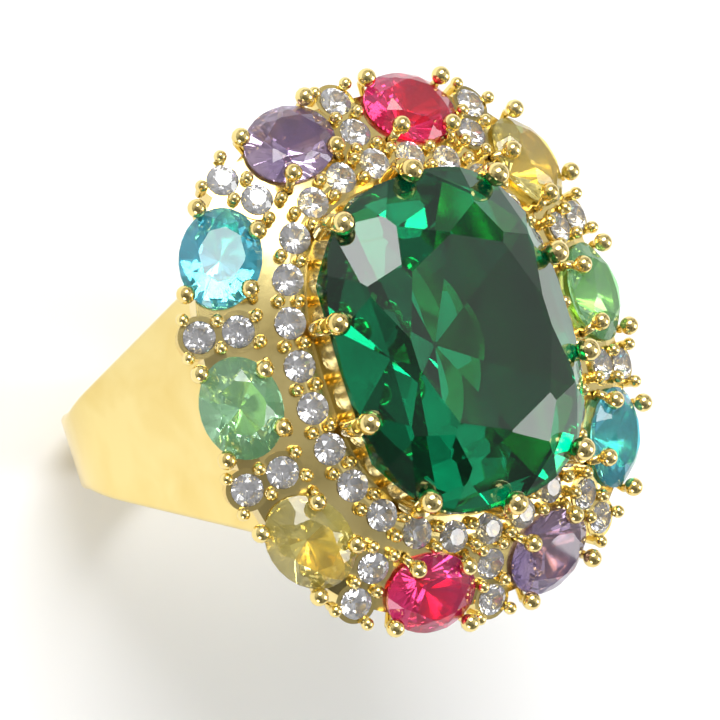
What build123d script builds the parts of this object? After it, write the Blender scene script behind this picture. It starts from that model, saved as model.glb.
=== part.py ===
from build123d import *
from math import cos, floor, hypot, pi, radians, sin, sqrt
import os

os.makedirs("parts", exist_ok=True)

# A cocktail ring: a wide, plain, tapering band, and a domed oval head with a large
# cushion-cut stone in claws, a halo of small round stones, and a rim of oval stones with
# pairs of small round stones between them. The finger hole runs along Y, its centre is
# the origin, and the head stands on +Z with its long side along Y.

# ---- band (mm) ----
bore_r = 8.7              # finger hole
band_wall = 1.6           # band thickness at the back and the sides
back_width = 3.9          # band width at the back
flare_from_z = -3.3       # the band starts to widen here
flare_blend = 8.0         # bend radius where the flare starts
shoulder_width = 12.9     # band width at the top of the shoulders
shoulder_wall = 1.4       # shoulder thickness beside the hollow
shoulder_inset = 0.46     # the shoulders end this far inside the rim's row line
bridge_wall = 1.2         # wall over the finger, under the head
window_half = (3.4, 3.2)  # opening in the bridge under the centre stone
band_soft = 0.35          # rounding of the band's outer edges
head_rise = 3.65          # from the top of the finger hole to the head plate

# ---- centre stone, heights above the plate's underside ----
stone_half = (6.7, 8.3)   # half sizes across and along the finger
stone_power = 2.6         # outline: 2 is an ellipse, more is squarer
stone_rise = 5.1          # girdle height
stone_table = 0.6         # table size as a share of the girdle
stone_crown = 2.3
stone_girdle = 0.25
stone_pavilion = 5.0
stone_belly = 0.68        # pavilion size half way down, as a share of the girdle

collet_inset = 0.08       # the collet stands this far inside the stone's outline
collet_wall = 0.38
collet_drop = 0.45        # from the stone's girdle to the collet's lip

centre_claws = 10
centre_wire_r = 0.36
centre_ball_r = 0.6
claw_root_drop = 1.6      # from the stone's girdle to the claw's root on the collet
claw_root_inset = 0.25    # from the girdle's outline to the claw's root
claw_reach = 0.1          # the claw's ball is centred this far outside the girdle
claw_clear = 0.12         # gap between a claw's wire and the girdle
knee_share = 1.25         # the wire is this much thicker at its bend

# ---- head plate and rows of stones, heights above the plate's underside ----
halo_gap = 0.16           # from the centre stone's outline to the halo stones
halo_power = 2.4
halo_rise = 2.95          # metal surface at the halo's row line
halo_tilt = 14.0          # degrees that the halo stones lean outwards
rim_gap = (0.34, -0.37)   # from the halo stones to the ovals' row, across and along
rim_count = 10            # ovals, with as many pairs between them
rim_power = 2.47
rim_rise = 1.8            # metal surface at the rim's row line
rim_tilt = 26.0
inner_lip = 0.2           # the dome's inner edge stands this far above the halo's metal
edge_out = 0.95           # the plate's edge lies this far outside the rim's row line
edge_rise = 1.25
foot_out = 0.55           # outer edge of the plate's flat underside
foot_width = 1.55
cavity_rise = 1.65        # depth of the hollow under the dome

oval_half = (2.5, 2.0)    # oval stones, along and across the row
oval_table = 0.56
oval_crown = 0.75
oval_girdle = 0.14
oval_pavilion = 1.5
oval_belly = 0.66
oval_lift = 0.15          # girdle above the metal
cup_share = 0.9           # cup's lip as a share of the oval stone
cup_foot_share = 0.7
cup_height = 1.2

oval_wire_r = 0.23
oval_ball_r = 0.48
inner_claw = (0.58, 0.775)  # claw balls as shares of the oval's half sizes
outer_claw = (0.86, 0.73)
claw_root_share = 0.82    # claw roots as a share of the girdle
claw_root_depth = 1.1     # claw roots below the girdle
claw_knee_depth = 0.2     # the wire bends this far below the girdle

round_r = 0.78            # small round stones
round_table = 0.55
round_crown = 0.26
round_girdle = 0.08
round_pavilion = 0.62
round_belly = 0.6
round_lift = 0.05
lobe_wall = 0.26          # metal round a stone of a pair
lobe_height = 1.3         # depth of that metal
pair_pitch = 1.9          # between the two stones of a pair
pair_shift = 0.18         # the pairs sit this far outside the rim's row line
halo_space = 0.52         # between two halo stones

bead_r = 0.32
bead_lift = 0.36          # bead centre above the metal
bead_stem_r = 0.2
bead_stem = 0.95          # length under the bead's centre
bead_clear = 0.06         # gap between a bead and a round stone
outer_bead_turn = 54.0    # degrees from a pair's axis to the beads at its outer end
inner_bead_turn = 33.0    # and at its inner end
fit = 0.015               # gap between a stone and its seat or claws
culet_share = 0.05        # size of every stone's culet as a share of its girdle
pocket_rise = 0.5         # the stones' pockets are open this far above the girdle
outline_start = 6.0       # degrees from +X to where the smooth outlines start
outline_points = 32       # points that each smooth outline runs through
stone_sides = 32          # sides of the stones' outlines
oval_sides = 16
round_sides = 8
overshoot = 1.0           # cuts run this far past the metal

outer_r = bore_r + band_wall
base_z = bore_r + head_rise
girdle_z = base_z + stone_rise


# ---- outlines and places ----
def grown(half, by):
    return (half[0] + by, half[1] + by)


def scaled(half, share):
    return (half[0] * share, half[1] * share)


def superellipse(half, power, t):
    """Point of a superellipse at angle t, in radians from +X."""
    c, s = cos(t), sin(t)
    reach = (abs(c / half[0]) ** power + abs(s / half[1]) ** power) ** (-1 / power)
    return (reach * c, reach * s)


def superellipse_points(half, power, count, start):
    return [superellipse(half, power, start + 2 * pi * i / count) for i in range(count)]


def fine_line(half, power):
    """The outline from +Y clockwise in small steps, with the length run up to each."""
    steps = 1440
    line = [superellipse(half, power, pi / 2 - 2 * pi * i / steps) for i in range(steps + 1)]
    run = [0.0]
    for (ax, ay), (bx, by) in zip(line, line[1:]):
        run.append(run[-1] + hypot(bx - ax, by - ay))
    return line, run


def row_places(half, power, count, offset):
    """Points at one pitch along the outline, the first `offset` pitches past +Y."""
    line, run = fine_line(half, power)
    places = []
    for k in range(count):
        goal = run[-1] * (k + offset) / count
        i = next(j for j in range(len(run) - 1) if run[j + 1] >= goal)
        share = (goal - run[i]) / (run[i + 1] - run[i])
        places.append(tuple(p + (q - p) * share for p, q in zip(line[i], line[i + 1])))
    return places


def even_count(half, power, pitch):
    """Largest even number of stones at this pitch or more."""
    return 2 * floor(fine_line(half, power)[1][-1] / pitch / 2)


def outward(half, power, x, y):
    """Unit vector across the outline at a point, pointing outwards."""
    gx = abs(x / half[0]) ** (power - 1) / half[0]
    gy = abs(y / half[1]) ** (power - 1) / half[1]
    return Vector(gx if x >= 0 else -gx, gy if y >= 0 else -gy, 0).normalized()


def seat_planes(half, power, z, tilt, count, offset):
    """Planes on the dome: X runs along the row, Y towards the centre, Z out of the dome."""
    planes = []
    for x, y in row_places(half, power, count, offset):
        out = outward(half, power, x, y)
        normal = out * sin(radians(tilt)) + Vector(0, 0, cos(radians(tilt)))
        planes.append(Plane(origin=(x, y, z), x_dir=(-out.Y, out.X, 0), z_dir=normal))
    return planes


def moved(plane, x, y, z=0.0):
    """The plane shifted by these distances along its own axes."""
    origin = plane.from_local_coords(Vector(x, y, z))
    return Plane(origin=origin, x_dir=plane.x_dir, z_dir=plane.z_dir)


# ---- repeated shapes ----
def outline(half, power, z):
    """Smooth superellipse face at height z."""
    with BuildSketch(Plane.XY.offset(z)) as sketch:
        with BuildLine():
            points = superellipse_points(half, power, outline_points, radians(outline_start))
            Spline(*points, periodic=True)
        make_face()
    return sketch.sketch


def cut_stone(half, power, sides, table, crown, girdle, pavilion, belly):
    """Faceted stone with its girdle's top at z = 0: culet, two pavilion steps, crown, table."""
    levels = [
        (-girdle - pavilion, culet_share),
        (-girdle - pavilion / 2, belly),
        (-girdle, 1.0),
        (0.0, 1.0),
        (crown, table),
    ]
    with BuildPart() as stone:
        for z, share in levels:
            with BuildSketch(Plane.XY.offset(z)):
                with BuildLine():
                    points = superellipse_points(scaled(half, share), power, sides, pi / sides)
                    Polyline(*points, close=True)
                make_face()
        loft(ruled=True)
    return stone.part


def seat_cut(half, girdle, pavilion, belly):
    """Smooth pocket that a stone with these sizes drops into, girdle's top at z = 0."""
    levels = [
        (-girdle - pavilion, culet_share),
        (-girdle - pavilion / 2, belly),
        (-girdle, 1.0),
        (pocket_rise, 1.0),
    ]
    with BuildPart() as pocket:
        for z, share in levels:
            with BuildSketch(Plane.XY.offset(z)):
                Ellipse(half[0] * share + fit, half[1] * share + fit)
        loft(ruled=True)
    return pocket.part


def wire_claw(root, knee, tip, wire_r, ball_r):
    """A wire from root to knee to tip, with a ball on the tip."""
    with BuildPart() as claw:
        for a, b in ((root, knee), (knee, tip)):
            with BuildSketch(Plane(origin=a, z_dir=b - a)):
                Circle(wire_r)
            extrude(amount=(b - a).length)
        with Locations(knee):
            Sphere(wire_r * knee_share)
        with Locations(tip):
            Sphere(ball_r)
    return claw.part


def placed(part, planes):
    """Copies of a part, one on each plane."""
    with BuildPart() as copies:
        with Locations(*planes):
            add(part)
    return copies.part


def write(part, name):
    part.label = name
    export_step(part, f"parts/{name}.step")


# ---- places of the stones ----
halo_half = grown(stone_half, round_r + halo_gap)
halo_count = even_count(halo_half, halo_power, 2 * round_r + halo_space)
halo_args = (halo_half, halo_power, base_z + halo_rise, halo_tilt, halo_count)
halo_seats = seat_planes(*halo_args, 0)
halo_gaps = seat_planes(*halo_args, 0.5)

rim_half = tuple(half + round_r + oval_half[1] + gap for half, gap in zip(halo_half, rim_gap))
rim_args = (rim_half, rim_power, base_z + rim_rise, rim_tilt, rim_count)
oval_seats = seat_planes(*rim_args, 0.5)
pair_seats = [moved(plane, 0, -pair_shift) for plane in seat_planes(*rim_args, 0)]

# ---- shank ----
shoulder_x = rim_half[0] - shoulder_inset
with BuildPart() as shank:
    with BuildSketch(Plane.XZ):
        Circle(outer_r)
        with BuildLine():
            Polyline(
                (-outer_r, 0), (outer_r, 0), (shoulder_x, base_z), (-shoulder_x, base_z), close=True
            )
        make_face()
    extrude(amount=shoulder_width, both=True)
    with BuildSketch(Plane.YZ):
        with BuildLine():
            FilletPolyline(
                (back_width / 2, -outer_r - overshoot),
                (back_width / 2, flare_from_z),
                (shoulder_width / 2, base_z),
                radius=flare_blend,
            )
            mirror(about=Plane.YZ)
            Line((-shoulder_width / 2, base_z), (shoulder_width / 2, base_z))
            Line((-back_width / 2, -outer_r - overshoot), (back_width / 2, -outer_r - overshoot))
        make_face()
    extrude(amount=outer_r + shoulder_x, both=True, mode=Mode.INTERSECT)
    sides = shank.faces().filter_by(lambda face: abs(face.normal_at().Y) > 0.9)
    fillet(sides.edges().filter_by(Axis.X, reverse=True), radius=band_soft)
    with BuildSketch(Plane.XZ):
        with BuildLine():
            Polyline(
                (-outer_r + shoulder_wall, 0),
                (outer_r - shoulder_wall, 0),
                (shoulder_x - shoulder_wall, base_z + overshoot),
                (-shoulder_x + shoulder_wall, base_z + overshoot),
                close=True,
            )
        make_face()
        Circle(bore_r + bridge_wall, mode=Mode.SUBTRACT)
    extrude(amount=shoulder_width, both=True, mode=Mode.SUBTRACT)
    with BuildSketch(Plane.XY):
        Ellipse(*window_half)
    extrude(amount=base_z, mode=Mode.SUBTRACT)
    with BuildSketch(Plane.XZ):
        Circle(bore_r)
    extrude(amount=shoulder_width, both=True, mode=Mode.SUBTRACT)
write(shank.part, "shank")

# ---- centre stone, its claws and collet ----
stone_sizes = (stone_table, stone_crown, stone_girdle, stone_pavilion, stone_belly)
emerald = cut_stone(stone_half, stone_power, stone_sides, *stone_sizes)
centre_stone = placed(emerald, [Plane.XY.offset(girdle_z)])
write(centre_stone, "centre_stone")


def over_crown(ball_r, share, table, crown, half_across):
    """Height above the girdle of a claw's ball that rests on the crown at this share."""
    slope = crown / ((1 - table) * half_across)
    return (ball_r + fit) * sqrt(1 + slope**2) + (1 - share) * half_across * slope


tip_share = 1 + claw_reach / stone_half[0]
tip_rise = over_crown(centre_ball_r, tip_share, stone_table, stone_crown, stone_half[0])
centre_claw = wire_claw(
    Vector(0, claw_root_inset, -claw_root_drop),
    Vector(0, -centre_wire_r - claw_clear, -stone_girdle / 2),
    Vector(0, -claw_reach, tip_rise),
    centre_wire_r,
    centre_ball_r,
)
claw_planes = seat_planes(stone_half, stone_power, girdle_z, 0, centre_claws, 0)
centre_claw_set = placed(centre_claw, claw_planes)
write(centre_claw_set, "centre_claws")

collet_half = grown(stone_half, -collet_inset)
collet_foot = base_z + cavity_rise
with BuildPart() as centre_collet:
    add(outline(collet_half, stone_power, collet_foot))
    extrude(amount=girdle_z - collet_drop - collet_foot)
    add(outline(grown(collet_half, -collet_wall), stone_power, collet_foot))
    extrude(amount=girdle_z - collet_foot, mode=Mode.SUBTRACT)
    add(centre_stone, mode=Mode.SUBTRACT)
    add(centre_claw_set, mode=Mode.SUBTRACT)
write(centre_collet.part, "centre_collet")

# ---- oval stones and their claws ----
oval_sizes = (oval_girdle, oval_pavilion, oval_belly)
oval_stone = cut_stone(oval_half, 2, oval_sides, oval_table, oval_crown, *oval_sizes)
oval_girdles = [moved(seat, 0, 0, oval_lift) for seat in oval_seats]


def oval_claw(shares, side, across):
    """One wire claw of an oval stone, at these shares of the stone's half sizes."""
    share = hypot(*shares)
    tip = Vector(side * shares[0] * oval_half[0], across * shares[1] * oval_half[1], 0)
    edge = tip / share
    knee = edge * (1 + (oval_wire_r + claw_clear) / edge.length)
    rise = over_crown(oval_ball_r, share, oval_table, oval_crown, oval_half[1])
    return wire_claw(
        edge * claw_root_share - Vector(0, 0, claw_root_depth),
        knee - Vector(0, 0, claw_knee_depth),
        tip + Vector(0, 0, rise),
        oval_wire_r,
        oval_ball_r,
    )


with BuildPart() as oval_claw_set:
    add([oval_claw(inner_claw, side, 1) for side in (-1, 1)])
    add([oval_claw(outer_claw, side, -1) for side in (-1, 1)])

colours = ("red", "yellow", "green", "turquoise", "purple")
for k, girdle in enumerate(oval_girdles):
    name = f"{colours[k % len(colours)]}_{k // len(colours) + 1}"
    write(placed(oval_stone, [girdle]), f"oval_{name}")
    write(placed(oval_claw_set.part, [girdle]), f"claws_{name}")

# ---- small round stones ----
round_sizes = (round_girdle, round_pavilion, round_belly)
round_half = (round_r, round_r)
round_stone = cut_stone(round_half, 2, round_sides, round_table, round_crown, *round_sizes)
halo_girdles = [moved(seat, 0, 0, round_lift) for seat in halo_seats]
write(placed(round_stone, halo_girdles), "halo_stones")

pair_girdles = []
for k, seat in enumerate(pair_seats):
    two = [moved(seat, 0, side * pair_pitch / 2, round_lift) for side in (-1, 1)]
    pair_girdles += two
    write(placed(round_stone, two), f"pair_{k + 1}")

# ---- beads: each is round, on a short stem that is let into the metal below it ----
with BuildPart() as stem:
    with BuildSketch(Plane.XY.offset(bead_lift - bead_stem)):
        Circle(bead_stem_r)
    extrude(amount=bead_stem)
with BuildPart() as bead:
    add(stem.part)
    with Locations((0, 0, bead_lift)):
        Sphere(bead_r)

bead_reach = round_r + bead_r + bead_clear
halo_pitch = 2 * round_r + halo_space
halo_offset = sqrt(bead_reach**2 - (halo_pitch / 2) ** 2)
inner_places = [moved(gap, 0, halo_offset) for gap in halo_gaps]
outer_places = [moved(gap, 0, -halo_offset) for gap in halo_gaps]
write(placed(bead.part, inner_places), "halo_inner_beads")
write(placed(bead.part, outer_places), "halo_outer_beads")

middle_side = sqrt(bead_reach**2 - (pair_pitch / 2) ** 2)
pair_spots = [(middle_side, 0)]
for end, turn in ((-1, outer_bead_turn), (1, inner_bead_turn)):
    past = pair_pitch / 2 + bead_reach * cos(radians(turn))
    pair_spots.append((bead_reach * sin(radians(turn)), end * past))
pair_places = []
for k, seat in enumerate(pair_seats):
    six = [moved(seat, side * x, y) for x, y in pair_spots for side in (-1, 1)]
    pair_places += six
    write(placed(bead.part, six), f"pair_beads_{k + 1}")

# ---- head plate ----
round_pocket = seat_cut(round_half, *round_sizes)
oval_pocket = seat_cut(oval_half, *oval_sizes)
with BuildPart() as head_plate:
    add(outline(grown(rim_half, foot_out), rim_power, base_z))
    add(outline(grown(rim_half, edge_out), rim_power, base_z + edge_rise))
    loft(ruled=True)
    add(outline(grown(rim_half, edge_out), rim_power, base_z + edge_rise))
    add(outline(rim_half, rim_power, base_z + rim_rise))
    add(outline(halo_half, halo_power, base_z + halo_rise))
    add(outline(collet_half, stone_power, base_z + halo_rise + inner_lip))
    loft(ruled=True)
    for girdle in oval_girdles:
        for z, share in ((-oval_girdle, cup_share), (-oval_girdle - cup_height, cup_foot_share)):
            with BuildSketch(moved(girdle, 0, 0, z)):
                Ellipse(*scaled(oval_half, share))
        loft(ruled=True)
    for girdle in pair_girdles:
        with BuildSketch(moved(girdle, 0, 0, -round_girdle)):
            Circle(round_r + lobe_wall)
        extrude(amount=-lobe_height)
    add(outline(grown(rim_half, foot_out - foot_width), rim_power, base_z))
    add(outline(grown(halo_half, -round_r / 2), halo_power, collet_foot))
    loft(ruled=True, mode=Mode.SUBTRACT)
    add(outline(collet_half, stone_power, base_z))
    extrude(amount=girdle_z - base_z, mode=Mode.SUBTRACT)
    with Locations(*oval_girdles):
        add(oval_pocket, mode=Mode.SUBTRACT)
    with Locations(*halo_girdles, *pair_girdles):
        add(round_pocket, mode=Mode.SUBTRACT)
    with Locations(*oval_girdles):
        add(oval_claw_set.part, mode=Mode.SUBTRACT)
    with Locations(*inner_places, *outer_places, *pair_places):
        add(stem.part, mode=Mode.SUBTRACT)
write(head_plate.part, "head_plate")
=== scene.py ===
"""Looks of a cocktail ring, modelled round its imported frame: an add-on that is run as a script."""

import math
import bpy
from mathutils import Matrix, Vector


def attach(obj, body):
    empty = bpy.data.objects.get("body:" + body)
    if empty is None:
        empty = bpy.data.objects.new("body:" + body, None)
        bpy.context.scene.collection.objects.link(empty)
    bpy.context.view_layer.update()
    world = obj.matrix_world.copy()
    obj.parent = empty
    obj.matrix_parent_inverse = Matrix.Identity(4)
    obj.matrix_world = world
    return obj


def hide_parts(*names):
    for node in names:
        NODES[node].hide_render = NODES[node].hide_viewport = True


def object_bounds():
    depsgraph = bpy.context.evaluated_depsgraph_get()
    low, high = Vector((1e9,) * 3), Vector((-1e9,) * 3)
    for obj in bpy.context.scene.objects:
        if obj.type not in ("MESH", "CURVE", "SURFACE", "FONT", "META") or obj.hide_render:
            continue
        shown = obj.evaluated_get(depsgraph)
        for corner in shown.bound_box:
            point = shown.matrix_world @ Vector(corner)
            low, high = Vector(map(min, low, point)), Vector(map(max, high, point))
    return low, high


bl_info = {
    "name": "Cocktail ring",
    "version": (1, 0, 0),
    "blender": (4, 5, 0),
    "location": "3D Viewport > Sidebar > Ring",
    "description": "Models the stones, claws, beads and finishes of a cocktail ring",
    "category": "Object",
}

import bpy
from mathutils import Matrix, Vector

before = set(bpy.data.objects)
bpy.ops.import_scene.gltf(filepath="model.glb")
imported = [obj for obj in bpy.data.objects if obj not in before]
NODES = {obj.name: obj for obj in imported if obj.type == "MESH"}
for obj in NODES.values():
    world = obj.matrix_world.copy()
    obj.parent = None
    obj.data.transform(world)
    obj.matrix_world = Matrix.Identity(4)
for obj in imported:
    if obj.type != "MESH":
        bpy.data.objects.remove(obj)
CAD_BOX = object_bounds()
MM = 0.001
COLOURS = ("red", "yellow", "green", "turquoise", "purple")
OVALS = tuple(f"{colour}_{turn}" for turn in (1, 2) for colour in COLOURS)


# ---- sizes and colours that a user would change ----
def length(name, description, default):
    """A length property; the defaults are written in millimetres."""
    return bpy.props.FloatProperty(
        name=name, description=description, default=default * MM, unit="LENGTH", precision=5
    )


def tint(name, description, default):
    return bpy.props.FloatVectorProperty(
        name=name, description=description, default=default, subtype="COLOR", min=0, max=1
    )


class RingSizes(bpy.types.PropertyGroup):
    plate_base: length("Head base", "Height of the head plate's underside", 12.35)
    stone_x: length("Stone half width", "Centre stone, half size across the finger", 6.7)
    stone_y: length("Stone half length", "Centre stone, half size along the finger", 8.3)
    stone_rise: length("Stone rise", "Centre stone's girdle above the head base", 5.1)
    stone_crown: length("Crown", "Height of the centre stone's crown", 2.3)
    stone_pavilion: length("Pavilion", "Depth of the centre stone under its girdle", 5.2)
    halo_out: length("Halo offset", "Halo's row line outside the centre stone's outline", 0.94)
    halo_rise: length("Halo rise", "Metal at the halo's row line above the head base", 2.95)
    rim_x: length("Rim offset across", "From the halo's row line to the rim's, across", 3.12)
    rim_y: length("Rim offset along", "From the halo's row line to the rim's, along", 2.41)
    rim_rise: length("Rim rise", "Metal at the rim's row line above the head base", 1.8)
    oval_x: length("Oval half length", "Oval stones, along the row", 2.5)
    oval_y: length("Oval half width", "Oval stones, across the row", 2.0)
    oval_crown: length("Oval crown", "Height of the oval stones' crown", 0.75)
    round_r: length("Round radius", "Radius of the small round stones", 0.78)
    pair_pitch: length("Pair pitch", "Between the two round stones of a pair", 1.9)
    bead_r: length("Bead radius", "Radius of the small gold beads", 0.33)
    oval_ball: length("Oval claw ball", "Radius of the balls on the oval stones' claws", 0.47)
    centre_ball: length("Centre claw tip", "Radius of the centre claws' tips", 0.6)


class RingColours(bpy.types.PropertyGroup):
    gold: tint("Gold", "Polished gold plating", (0.87, 0.71, 0.30))
    gold_deep: tint("Deep gold", "Gold plating where it is warmer", (0.81, 0.62, 0.22))
    emerald: tint("Emerald", "Centre stone", (0.0, 0.33, 0.13))
    red: tint("Red", "Red ovals", (0.93, 0.03, 0.12))
    yellow: tint("Yellow", "Yellow ovals", (1.0, 0.86, 0.20))
    green: tint("Green", "Pale green ovals", (0.48, 0.97, 0.50))
    turquoise: tint("Turquoise", "Turquoise ovals", (0.14, 0.76, 0.98))
    purple: tint("Purple", "Purple ovals", (0.46, 0.34, 0.76))
    clear: tint("Clear", "Small round stones", (0.97, 0.97, 1.0))


# the colour that each kind of oval shades into
SECOND_TINTS = {
    "red": (0.97, 0.08, 0.34),
    "yellow": (1.0, 0.90, 0.42),
    "green": (0.60, 0.96, 0.66),
    "turquoise": (0.30, 0.88, 0.92),
    "purple": (0.56, 0.42, 0.52),
}


def sizes():
    return bpy.context.scene.ring_sizes


def colours():
    return bpy.context.scene.ring_colours


# ---- outlines and seats: rows of stones at an even pitch along a superellipse ----
STONE_POWER, HALO_POWER, RIM_POWER = 2.6, 2.4, 2.47
HALO_TILT, RIM_TILT = math.radians(14.0), math.radians(26.0)
HALO_COUNT, RIM_COUNT, CLAW_COUNT = 26, 10, 10
ROUND_LIFT, OVAL_LIFT, PAIR_SHIFT = 0.05 * MM, 0.15 * MM, 0.18 * MM
BEAD_LIFT = 0.2 * MM
BEAD_REACH = 0.38 * MM  # from a round stone's edge to the bead centres beside it
HALO_HALF_PITCH = 1.04 * MM
PAIR_TURNS = ((-1, math.radians(54)), (1, math.radians(33)))  # outer and inner end, beads' turn

# ---- cuts: heights and depths in millimetres, tables and facets as shares ----
STONE_TABLE, STONE_GIRDLE, STONE_SIDES = 0.60, 0.25, 48
OVAL_TABLE, OVAL_GIRDLE, OVAL_PAVILION, OVAL_SIDES = 0.56, 0.14, 1.5, 32
ROUND_TABLE, ROUND_CROWN, ROUND_GIRDLE, ROUND_PAVILION, ROUND_SIDES = 0.55, 0.26, 0.08, 0.62, 16
MAINS, CULET_SHARE = 8, 0.02
STAR_SHARE, STAR_HEIGHT, STAR_END = 0.5, 0.62, 0.93
HALF_SHARE, HALF_HEIGHT = 0.42, 0.66
LOWER_HALF_SHARE, LOWER_HALF_DEPTH = 0.17, 0.86
BLANK_WIDTH, BLANK_DEPTH = 2.4, 2.2

# ---- wires, in millimetres: centres (along the row, inwards, up) and radii of the rings ----
CENTRE_CLAW_RISE, CENTRE_CLAW_LEAN = 0.74, -0.08
CENTRE_CLAW_WIRE = [(0, 0.14, -1.62), (0, -0.22, -0.9), (0, -0.45, -0.15), (0, -0.34, 0.2)]
CENTRE_CLAW_RADII = [0.46, 0.42, 0.43, 0.46]
OVAL_CLAW_ROOT, OVAL_CLAW_KNEE, OVAL_CLAW_CLEAR = 0.82, -0.15, 0.34
OVAL_CLAW_RADII = [0.26, 0.22, 0.22, 0.23]
# tip as shares of the oval's half sizes, inwards or outwards, height
OVAL_CLAW_TIPS = (((0.58, 0.775), 1, 0.68), ((0.86, 0.73), -1, 0.46))
BEAD_FOOT, BEAD_FOOT_RADII = [(0, 0, -0.7), (0, 0, -0.12)], [0.2, 0.24]
BALL_END = math.pi * 0.97  # short of the very top, so that the last ring is still a ring


def superellipse(half, power, t):
    c, s = math.cos(t), math.sin(t)
    reach = (abs(c / half[0]) ** power + abs(s / half[1]) ** power) ** (-1 / power)
    return Vector((reach * c, reach * s, 0))


def outward(half, power, p):
    gx = math.copysign(abs(p.x / half[0]) ** (power - 1) / half[0], p.x)
    gy = math.copysign(abs(p.y / half[1]) ** (power - 1) / half[1], p.y)
    return Vector((gx, gy, 0)).normalized()


def row(half, power, count, offset):
    """Points at an even pitch round the outline, the first `offset` pitches past +Y."""
    steps = 1440
    line = [superellipse(half, power, math.pi / 2 - math.tau * i / steps) for i in range(steps + 1)]
    run = [0.0]
    for a, b in zip(line, line[1:]):
        run.append(run[-1] + (b - a).length)
    points = []
    for k in range(count):
        goal = run[-1] * (k + offset) / count
        i = next(j for j in range(steps) if run[j + 1] >= goal)
        points.append(line[i].lerp(line[i + 1], (goal - run[i]) / (run[i + 1] - run[i])))
    return points


def seats(half, power, z, tilt, count, offset):
    """One frame for each seat: X along the row, Y towards the centre stone, Z out of the dome."""
    frames = []
    for p in row(half, power, count, offset):
        out = outward(half, power, p)
        up = out * math.sin(tilt) + Vector((0, 0, math.cos(tilt)))
        along = Vector((-out.y, out.x, 0))
        axes = Matrix((along, up.cross(along), up)).transposed().to_4x4()
        frames.append(Matrix.Translation((p.x, p.y, z)) @ axes)
    return frames


def stone_half():
    return (sizes().stone_x, sizes().stone_y)


def halo_half():
    return (sizes().stone_x + sizes().halo_out, sizes().stone_y + sizes().halo_out)


def rim_half():
    return (halo_half()[0] + sizes().rim_x, halo_half()[1] + sizes().rim_y)


def halo_seats(offset):
    z = sizes().plate_base + sizes().halo_rise
    return seats(halo_half(), HALO_POWER, z, HALO_TILT, HALO_COUNT, offset)


def rim_seats(offset):
    z = sizes().plate_base + sizes().rim_rise
    return seats(rim_half(), RIM_POWER, z, RIM_TILT, RIM_COUNT, offset)


def shifted(seat, x=0.0, y=0.0, z=0.0):
    return seat @ Matrix.Translation((x, y, z))


# ---- bench tools: masters are made in millimetres, a thousand times real size ----
def pick(*objects):
    """Select only these objects; the first becomes the active one."""
    bpy.ops.object.select_all(action="DESELECT")
    for o in objects:
        o.select_set(True)
    bpy.context.view_layer.objects.active = objects[0]


def edit(o):
    pick(o)
    bpy.ops.object.mode_set(mode="EDIT")
    bpy.ops.mesh.select_all(action="SELECT")


def leave():
    bpy.ops.object.mode_set(mode="OBJECT")


def cut(point, normal):
    """Grind one flat on the blank that is being edited and close the cut."""
    bpy.ops.mesh.select_all(action="SELECT")
    bpy.ops.mesh.bisect(
        plane_co=point, plane_no=normal, use_fill=True, clear_outer=True, threshold=1e-5
    )


def support(half, power, n):
    """Distance from the centre to the outline's tangent whose outward normal is n."""
    q = power / (power - 1)
    return (abs(half[0] * n.x) ** q + abs(half[1] * n.y) ** q) ** (1 / q)


def tier(half, power, count, turn, low, high):
    """Grind a ring of facets through two levels, each a (share of the outline, height)."""
    for k in range(count):
        a = math.tau * (k + turn) / count
        n = Vector((math.cos(a), math.sin(a), 0))
        d = support(half, power, n)
        rise = high[1] - low[1]
        fall = (low[0] - high[0]) * d
        normal = n * abs(rise) + Vector((0, 0, math.copysign(fall, rise)))
        cut(n * d * low[0] + Vector((0, 0, low[1])), normal.normalized())


def gem(name, half, power, girdle_count, crown, girdle, pavilion, cut_plan):
    """Cut one stone from a block: outline, table, culet, then tiers of facets above and below."""
    bpy.ops.object.select_all(action="DESELECT")
    bpy.ops.mesh.primitive_cube_add(size=1)
    blank = bpy.context.object
    blank.name = name
    edit(blank)
    reach = BLANK_WIDTH * max(half)
    depth = BLANK_DEPTH * pavilion + BLANK_DEPTH * crown
    bpy.ops.transform.resize(value=(reach, reach, depth))
    tier(half, power, girdle_count, 0.5, (1.0, 0.0), (1.0, 1.0))
    cut((0, 0, crown), (0, 0, 1))
    cut((0, 0, -girdle - pavilion), (0, 0, -1))
    for count, turn, low, high in cut_plan:
        tier(half, power, count, turn, low, high)
    leave()
    return blank


def brilliant_plan(crown, girdle, pavilion, table):
    """Mains, stars and halves above the girdle, mains and halves below it."""
    base = -girdle
    deep = -girdle - pavilion
    star = (table + (1 - table) * STAR_SHARE, crown * STAR_HEIGHT)
    half = (table + (1 - table) * HALF_SHARE, crown * HALF_HEIGHT)
    return (
        (MAINS, 0, (1.0, 0.02 * crown), (table, crown)),
        (MAINS, 0.5, star, (table * STAR_END, crown)),
        (2 * MAINS, 0.5, (1.0, 0.0), half),
        (MAINS, 0, (1.0, base * 1.02), (CULET_SHARE, deep)),
        (2 * MAINS, 0.5, (1.0, base), (LOWER_HALF_SHARE, deep * LOWER_HALF_DEPTH)),
    )


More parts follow.
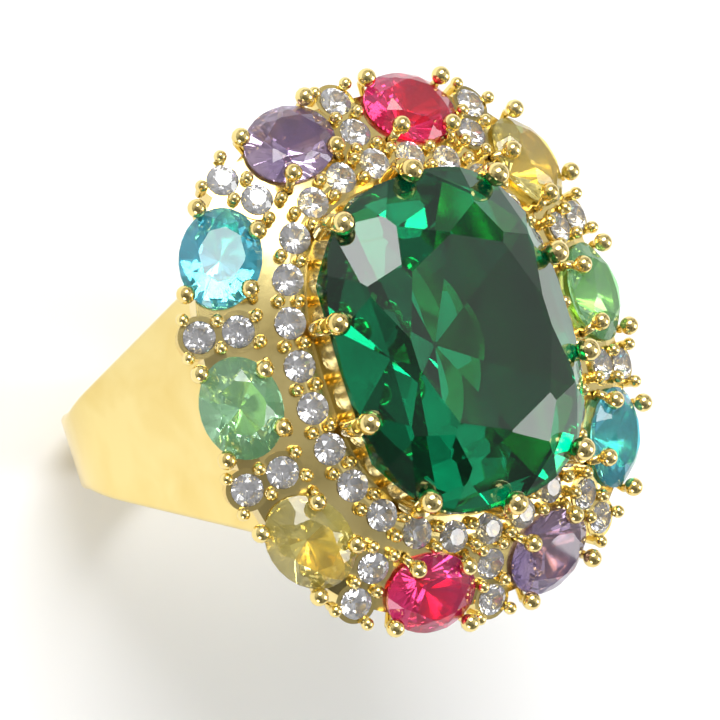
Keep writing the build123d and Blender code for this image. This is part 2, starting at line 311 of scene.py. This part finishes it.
def stalk(name, centres, radii, sides):
    """A round rod that rises through these centres with these radii, closed at both ends."""
    bpy.ops.object.select_all(action="DESELECT")
    bpy.ops.mesh.primitive_circle_add(
        vertices=sides, radius=radii[0], fill_type="NGON", location=centres[0]
    )
    rod = bpy.context.object
    rod.name = name
    edit(rod)
    for i in range(1, len(centres)):
        step = Vector(centres[i]) - Vector(centres[i - 1])
        grow = radii[i] / radii[i - 1]
        bpy.ops.mesh.extrude_region_move(TRANSFORM_OT_translate={"value": step})
        bpy.ops.transform.resize(value=(grow, grow, 1), center_override=centres[i])
    bpy.ops.mesh.select_all(action="SELECT")
    bpy.ops.mesh.normals_make_consistent(inside=False)
    leave()
    pick(rod)
    bpy.ops.object.transform_apply(location=True, rotation=True, scale=True)
    bpy.ops.object.shade_smooth_by_angle(angle=math.radians(60))
    return rod


def ball_rings(centre, r, start, rings):
    """Centres and radii of a ball's rings, from `start` radians past its lowest point to its top."""
    centres, radii = [], []
    for i in range(rings + 1):
        a = start + (BALL_END - start) * i / rings
        centres.append((centre[0], centre[1], centre[2] - r * math.cos(a)))
        radii.append(r * math.sin(a))
    return centres, radii


def joined(name, objects):
    pick(*objects)
    if len(objects) > 1:
        bpy.ops.object.join()
    whole = bpy.context.object
    whole.name = name
    return whole


def copies(name, master, frames):
    """Copies of a master at every frame, brought to real size and joined into one piece."""
    made = []
    for seat in frames:
        one = master.copy()
        one.data = master.data.copy()
        bpy.context.collection.objects.link(one)
        one.matrix_world = seat @ Matrix.Scale(MM, 4)
        made.append(one)
    pick(*made)
    bpy.ops.object.transform_apply(location=True, rotation=True, scale=True)
    return joined(name, made)


def discard(*objects):
    for o in objects:
        bpy.data.objects.remove(o, do_unlink=True)


def finish_piece(piece, material, slot, *nodes):
    """Give a piece its finish, tie it to the ring and let it stand for its CAD nodes."""
    piece.data.materials.clear()
    piece.data.materials.append(material)
    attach(piece, "root")
    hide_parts(*nodes)


# ---- finishes ----
def new_material(name):
    material = bpy.data.materials.new(name)
    material.use_nodes = True
    tree = material.node_tree
    return material, tree, tree.nodes["Principled BSDF"]


def noise(tree, scale, detail, distortion=0.0):
    where = tree.nodes.new("ShaderNodeTexCoord")
    texture = tree.nodes.new("ShaderNodeTexNoise")
    texture.inputs["Scale"].default_value = scale
    texture.inputs["Detail"].default_value = detail
    texture.inputs["Distortion"].default_value = distortion
    tree.links.new(where.outputs["Object"], texture.inputs["Vector"])
    return texture.outputs["Fac"]


def ramp(tree, value, *stops):
    """Colours along a value: each stop is (position, colour)."""
    node = tree.nodes.new("ShaderNodeValToRGB")
    while len(node.color_ramp.elements) < len(stops):
        node.color_ramp.elements.new(0.5)
    for element, (position, colour) in zip(node.color_ramp.elements, stops):
        element.position = position
        element.color = (*colour, 1)
    tree.links.new(value, node.inputs["Fac"])
    return node.outputs["Color"]


def spread(tree, value, low, high):
    node = tree.nodes.new("ShaderNodeMapRange")
    node.inputs["To Min"].default_value = low
    node.inputs["To Max"].default_value = high
    tree.links.new(value, node.inputs["Value"])
    return node.outputs["Result"]


def bump(tree, shader, value, depth, distance):
    node = tree.nodes.new("ShaderNodeBump")
    node.inputs["Strength"].default_value = depth
    node.inputs["Distance"].default_value = distance
    tree.links.new(value, node.inputs["Height"])
    tree.links.new(node.outputs["Normal"], shader.inputs["Normal"])


def gold_finish(name, low, high, ripple):
    """Polished plating: warm patches, faint polishing haze and a slight ripple."""
    material, tree, shader = new_material(name)
    shader.inputs["Metallic"].default_value = 1.0
    patches = noise(tree, 260.0, 3.0, 0.4)
    colour = ramp(tree, patches, (0.3, colours().gold_deep), (0.62, colours().gold))
    tree.links.new(colour, shader.inputs["Base Color"])
    haze = noise(tree, 1900.0, 4.0)
    tree.links.new(spread(tree, haze, low, high), shader.inputs["Roughness"])
    bump(tree, shader, noise(tree, 420.0, 2.0), ripple, 0.00004)
    return material


def stone_finish(name, colour, other, ior, clarity):
    """Cut stone: clear as far as its clarity, with the colour zoned as in the real material."""
    material, tree, shader = new_material(name)
    zones = noise(tree, 210.0, 1.5, 0.8)
    tree.links.new(ramp(tree, zones, (0.35, other), (0.62, colour)), shader.inputs["Base Color"])
    shader.inputs["Transmission Weight"].default_value = clarity
    shader.inputs["IOR"].default_value = ior
    polish = noise(tree, 900.0, 2.0)
    tree.links.new(spread(tree, polish, 0.0, 0.03), shader.inputs["Roughness"])
    return material


def shaded(colour, factor):
    return tuple(min(1.0, c * factor) for c in colour)


# ---- operators: one for each piece or group of like pieces ----
class RING_OT_band(bpy.types.Operator):
    """Polish the band"""

    bl_idname = "ring.band"
    bl_label = "Band"

    def execute(self, context):
        metal = gold_finish("band_gold", low=0.12, high=0.24, ripple=0.04)
        NODES["shank"].data.materials[0] = metal
        return {"FINISHED"}


class RING_OT_head_metal(bpy.types.Operator):
    """Polish the head plate and the collet"""

    bl_idname = "ring.head_metal"
    bl_label = "Head plate and collet"

    def execute(self, context):
        metal = gold_finish("head_gold", low=0.12, high=0.26, ripple=0.12)
        for node in ("head_plate", "centre_collet"):
            NODES[node].data.materials[0] = metal
        return {"FINISHED"}


class RING_OT_centre_stone(bpy.types.Operator):
    """Cut the centre stone and set it"""

    bl_idname = "ring.centre_stone"
    bl_label = "Centre stone"

    def execute(self, context):
        s = sizes()
        half = (s.stone_x / MM, s.stone_y / MM)
        crown, girdle, table = s.stone_crown / MM, STONE_GIRDLE, STONE_TABLE
        pavilion = s.stone_pavilion / MM - girdle
        plan = (
            # crown: mains, stars, halves
            (MAINS, 0, (1.0, 0.05), (table, crown)),
            (MAINS, 0.5, (0.80, crown * 0.64), (table * 0.9, crown)),
            (2 * MAINS, 0.5, (1.0, 0.0), (0.78, crown * 0.68)),
            # pavilion: a steep step, then mains down to the culet
            (MAINS, 0, (1.0, -girdle), (0.80, -girdle - pavilion * 0.36)),
            (MAINS, 0, (0.81, -girdle - pavilion * 0.35), (CULET_SHARE, -girdle - pavilion)),
        )
        stone = gem("emerald_cut", half, STONE_POWER, STONE_SIDES, crown, girdle, pavilion, plan)
        seat = Matrix.Translation((0, 0, s.plate_base + s.stone_rise))
        piece = copies("centre_gem", stone, [seat])
        discard(stone)
        green = colours().emerald
        deep = shaded(green, 0.55)
        finish = stone_finish("emerald_stone", green, deep, ior=1.6, clarity=0.95)
        finish_piece(piece, finish, "emerald", "centre_stone")
        return {"FINISHED"}


class RING_OT_centre_claws(bpy.types.Operator):
    """Raise the claws round the centre stone"""

    bl_idname = "ring.centre_claws"
    bl_label = "Centre claws"

    def execute(self, context):
        s = sizes()
        r = s.centre_ball / MM
        ball = ball_rings((0, CENTRE_CLAW_LEAN, CENTRE_CLAW_RISE), r, start=0.62, rings=7)
        centres, radii = CENTRE_CLAW_WIRE + ball[0], CENTRE_CLAW_RADII + ball[1]
        claw = stalk("claw", centres, radii, sides=16)
        frames = []
        for p in row(stone_half(), STONE_POWER, CLAW_COUNT, 0):
            out = outward(stone_half(), STONE_POWER, p)
            axes = Matrix(((-out.y, out.x, 0), -out, (0, 0, 1))).transposed().to_4x4()
            place = Vector((p.x, p.y, s.plate_base + s.stone_rise))
            frames.append(Matrix.Translation(place) @ axes)
        piece = copies("centre_claw_wires", claw, frames)
        discard(claw)
        metal = gold_finish("centre_claw_gold", low=0.08, high=0.18, ripple=0.08)
        finish_piece(piece, metal, "gold", "centre_claws")
        return {"FINISHED"}


class RING_OT_oval_stones(bpy.types.Operator):
    """Cut the oval stones and set them round the rim"""

    bl_idname = "ring.oval_stones"
    bl_label = "Oval stones"

    def execute(self, context):
        s, c = sizes(), colours()
        half = (s.oval_x / MM, s.oval_y / MM)
        heights = (s.oval_crown / MM, OVAL_GIRDLE, OVAL_PAVILION)
        plan = brilliant_plan(*heights, OVAL_TABLE)
        master = gem("oval_cut", half, 2, OVAL_SIDES, *heights, plan)
        finishes = {}
        for name in COLOURS:
            tints = (getattr(c, name), SECOND_TINTS[name])
            finishes[name] = stone_finish(f"{name}_stone", *tints, ior=1.6, clarity=0.86)
        for name, seat in zip(OVALS, rim_seats(0.5)):
            piece = copies(f"oval_gem_{name}", master, [shifted(seat, z=OVAL_LIFT)])
            colour = name.split("_")[0]
            finish_piece(piece, finishes[colour], f"{colour}_stone", f"oval_{name}")
        discard(master)
        return {"FINISHED"}


class RING_OT_oval_claws(bpy.types.Operator):
    """Bend the ball-tipped wire claws of the oval stones"""

    bl_idname = "ring.oval_claws"
    bl_label = "Oval claws"

    def execute(self, context):
        s = sizes()
        a, b = s.oval_x / MM, s.oval_y / MM
        r = s.oval_ball / MM
        four = []
        for shares, across, rise in OVAL_CLAW_TIPS:
            for side in (-1, 1):
                tip = Vector((side * shares[0] * a, across * shares[1] * b, 0))
                edge = tip / math.hypot(*shares)
                clear = edge.normalized()
                ball = ball_rings((tip.x, tip.y, rise), r, start=0.55, rings=7)
                low = edge * OVAL_CLAW_ROOT
                knee = edge + clear * OVAL_CLAW_CLEAR
                neck = tip.lerp(knee, 0.45)
                centres = [
                    (low.x, low.y, -1.1),
                    (*low.lerp(knee, 0.6).to_2d(), -0.55),
                    (knee.x, knee.y, OVAL_CLAW_KNEE),
                    (neck.x, neck.y, rise - 0.93 * r),
                ] + ball[0]
                radii = OVAL_CLAW_RADII + ball[1]
                four.append(stalk("oval_claw", centres, radii, sides=14))
        master = joined("oval_claw_set", four)
        metal = gold_finish("oval_claw_gold", low=0.08, high=0.18, ripple=0.08)
        for name, seat in zip(OVALS, rim_seats(0.5)):
            piece = copies(f"claw_wires_{name}", master, [shifted(seat, z=OVAL_LIFT)])
            finish_piece(piece, metal, "gold", f"claws_{name}")
        discard(master)
        return {"FINISHED"}


class RING_OT_round_stones(bpy.types.Operator):
    """Cut the small round stones and set them in the halo and in pairs on the rim"""

    bl_idname = "ring.round_stones"
    bl_label = "Round stones"

    def execute(self, context):
        s = sizes()
        r = s.round_r / MM
        heights = (ROUND_CROWN, ROUND_GIRDLE, ROUND_PAVILION)
        plan = brilliant_plan(*heights, ROUND_TABLE)
        master = gem("round_cut", (r, r), 2, ROUND_SIDES, *heights, plan)
        clear = colours().clear
        finish = stone_finish("clear_stone", clear, shaded(clear, 0.93), ior=2.0, clarity=0.9)
        halo = [shifted(seat, z=ROUND_LIFT) for seat in halo_seats(0)]
        finish_piece(copies("halo_gems", master, halo), finish, "clear_stone", "halo_stones")
        for k, seat in enumerate(rim_seats(0)):
            two = [
                shifted(seat, y=side * s.pair_pitch / 2 - PAIR_SHIFT, z=ROUND_LIFT)
                for side in (-1, 1)
            ]
            piece = copies(f"pair_gems_{k + 1}", master, two)
            finish_piece(piece, finish, "clear_stone", f"pair_{k + 1}")
        discard(master)
        return {"FINISHED"}


def bead_shape(name):
    """A raised bead: a round cap on a short flared foot."""
    r = sizes().bead_r / MM
    lift = BEAD_LIFT / MM
    centres, radii = ball_rings((0, 0, lift), r, start=0.75, rings=6)
    return stalk(name, BEAD_FOOT + centres, BEAD_FOOT_RADII + radii, sides=12)


class RING_OT_beads(bpy.types.Operator):
    """Raise the beads that hold the round stones"""

    bl_idname = "ring.beads"
    bl_label = "Beads"

    def execute(self, context):
        s = sizes()
        metal = gold_finish("bead_gold", low=0.08, high=0.2, ripple=0.1)
        master = bead_shape("bead")
        reach = s.round_r + BEAD_REACH
        across = math.sqrt(reach**2 - HALO_HALF_PITCH**2)
        gaps = halo_seats(0.5)
        for node, side in (("halo_inner_beads", 1), ("halo_outer_beads", -1)):
            places = [shifted(seat, y=side * across) for seat in gaps]
            finish_piece(copies(f"{node}_cast", master, places), metal, "gold", node)
        middle = math.sqrt(reach**2 - (s.pair_pitch / 2) ** 2)
        spots = [(middle, 0)]
        for end, turn in PAIR_TURNS:
            past = s.pair_pitch / 2 + reach * math.cos(turn)
            spots.append((reach * math.sin(turn), end * past))
        for k, seat in enumerate(rim_seats(0)):
            places = [shifted(seat, side * x, y - PAIR_SHIFT) for x, y in spots for side in (-1, 1)]
            piece = copies(f"pair_beads_cast_{k + 1}", master, places)
            finish_piece(piece, metal, "gold", f"pair_beads_{k + 1}")
        discard(master)
        return {"FINISHED"}


class RING_OT_stage(bpy.types.Operator):
    """Lay the floor, light the ring and place the camera"""

    bl_idname = "ring.stage"
    bl_label = "Stage"

    def execute(self, context):
        bpy.context.scene.view_settings.view_transform = "Standard"
        lay_floor()
        light_studio()
        place_camera()
        return {"FINISHED"}


# ---- stage ----
CAMERA_PLACE = Vector((-215.4, 9.0, 337.8)) * MM
CAMERA_BACK = Vector((-0.5477, 0.0222, 0.8364))
CAMERA_RIGHT = Vector((0.7943, -0.3003, 0.5281))
CAMERA_LENS = 401.0
FLOOR_SIZE = 3.0
FLOOR_DROP = 0.05 * MM
ROOM_STRENGTH = 0.80
MIX_A, MIX_B, MIX_RESULT = 6, 7, 2  # a Mix node's colour sockets, whose names aren't unique


def lay_floor():
    bpy.ops.object.select_all(action="DESELECT")
    level = CAD_BOX[0][2] - FLOOR_DROP
    bpy.ops.mesh.primitive_plane_add(size=FLOOR_SIZE, location=(0, 0, level))
    floor = bpy.context.object
    floor.name = "studio_floor"
    pick(floor)
    bpy.ops.object.transform_apply(location=True, rotation=True, scale=True)
    material, tree, shader = new_material("floor_paper")
    grain = noise(tree, 30.0, 3.0)
    paper = ramp(tree, grain, (0.3, (0.955, 0.955, 0.96)), (0.7, (0.97, 0.97, 0.97)))
    tree.links.new(paper, shader.inputs["Base Color"])
    shader.inputs["Roughness"].default_value = 0.9
    floor.data.materials.append(material)


def softbox(name, azimuth, elevation, distance, width, height, power):
    """A rectangular soft light that faces the ring."""
    a, e = math.radians(azimuth), math.radians(elevation)
    place = Vector((math.cos(e) * math.cos(a), math.cos(e) * math.sin(a), math.sin(e))) * distance
    lamp = bpy.data.lights.new(name, "AREA")
    lamp.shape = "RECTANGLE"
    lamp.size, lamp.size_y = width, height
    lamp.energy = power
    holder = bpy.data.objects.new(name, lamp)
    holder.location = place
    holder.rotation_euler = place.to_track_quat("Z", "Y").to_euler()
    bpy.context.collection.objects.link(holder)


def facing(tree, direction, *stops):
    """Grey levels of the room by how close it is to this direction: stops are (share, level)."""
    where = tree.nodes.new("ShaderNodeTexCoord")
    node = tree.nodes.new("ShaderNodeVectorMath")
    node.operation = "DOT_PRODUCT"
    node.inputs[1].default_value = Vector(direction).normalized()
    tree.links.new(where.outputs["Generated"], node.inputs[0])
    share = spread(tree, node.outputs["Value"], 0.0, 1.0)
    share.node.inputs["From Min"].default_value = -1.0
    return ramp(tree, share, *((position, (level,) * 3) for position, level in stops))


def product(tree, first, second):
    node = tree.nodes.new("ShaderNodeMix")
    node.data_type = "RGBA"
    node.blend_type = "MULTIPLY"
    node.inputs["Factor"].default_value = 1.0
    tree.links.new(first, node.inputs[MIX_A])
    tree.links.new(second, node.inputs[MIX_B])
    return node.outputs[MIX_RESULT]


def light_studio():
    """A pale tent, brightest behind the ring, with darker seams, and three soft boxes."""
    world = bpy.data.worlds.new("studio")
    bpy.context.scene.world = world
    world.use_nodes = True
    tree = world.node_tree
    sky = facing(tree, (0.15, 0.75, 0.6), (0.12, 0.30), (0.42, 0.42), (0.60, 0.85), (0.8, 1.0))
    hole = facing(tree, (-0.60, -0.25, 0.75), (0.84, 1.0), (0.93, 0.62), (0.99, 0.30))
    where = tree.nodes.new("ShaderNodeTexCoord")
    folds = tree.nodes.new("ShaderNodeTexNoise")
    folds.inputs["Scale"].default_value = 3.1
    folds.inputs["Detail"].default_value = 1.0
    tree.links.new(where.outputs["Generated"], folds.inputs["Vector"])
    depths = ((0.36, 0.22), (0.45, 0.75), (0.52, 1.0))
    greys = ((position, (level,) * 3) for position, level in depths)
    seams = ramp(tree, folds.outputs["Fac"], *greys)
    shade = product(tree, product(tree, sky, hole), seams)
    background = tree.nodes["Background"]
    tree.links.new(shade, background.inputs["Color"])
    background.inputs["Strength"].default_value = ROOM_STRENGTH
    softbox("key_box", 100, 55, distance=0.5, width=0.34, height=0.24, power=1.9)
    softbox("fill_box", 222, 14, distance=0.6, width=0.30, height=0.20, power=1.0)
    softbox("rim_box", 330, 35, distance=0.6, width=0.25, height=0.40, power=1.5)


def place_camera():
    """A long lens, tilted with the ring as it lies in its hero view."""
    back = CAMERA_BACK.normalized()
    up = back.cross(CAMERA_RIGHT).normalized()
    axes = Matrix((up.cross(back), up, back)).transposed().to_4x4()
    lens = bpy.data.cameras.new("camera")
    lens.lens = CAMERA_LENS
    lens.clip_end = 10
    camera = bpy.data.objects.new("camera", lens)
    camera.matrix_world = Matrix.Translation(CAMERA_PLACE) @ axes
    bpy.context.collection.objects.link(camera)
    bpy.context.scene.camera = camera


# ---- panel and registration ----
STEPS = (
    RING_OT_band,
    RING_OT_head_metal,
    RING_OT_centre_stone,
    RING_OT_centre_claws,
    RING_OT_oval_stones,
    RING_OT_oval_claws,
    RING_OT_round_stones,
    RING_OT_beads,
    RING_OT_stage,
)


class RING_PT_panel(bpy.types.Panel):
    """Lists the ring's pieces, sizes and colours"""

    bl_idname = "RING_PT_panel"
    bl_label = "Cocktail ring"
    bl_space_type = "VIEW_3D"
    bl_region_type = "UI"
    bl_category = "Ring"

    def draw(self, context):
        for step in STEPS:
            self.layout.operator(step.bl_idname)
        for group in (context.scene.ring_sizes, context.scene.ring_colours):
            box = self.layout.box()
            for name in group.__annotations__:
                box.prop(group, name)


CLASSES = (RingSizes, RingColours, *STEPS, RING_PT_panel)


def register():
    for one in CLASSES:
        bpy.utils.register_class(one)
    bpy.types.Scene.ring_sizes = bpy.props.PointerProperty(type=RingSizes)
    bpy.types.Scene.ring_colours = bpy.props.PointerProperty(type=RingColours)


def unregister():
    del bpy.types.Scene.ring_colours
    del bpy.types.Scene.ring_sizes
    for one in reversed(CLASSES):
        bpy.utils.unregister_class(one)


def main():
    register()
    for step in STEPS:
        group, name = step.bl_idname.split(".")
        getattr(getattr(bpy.ops, group), name)()


if __name__ == "__main__":
    main()
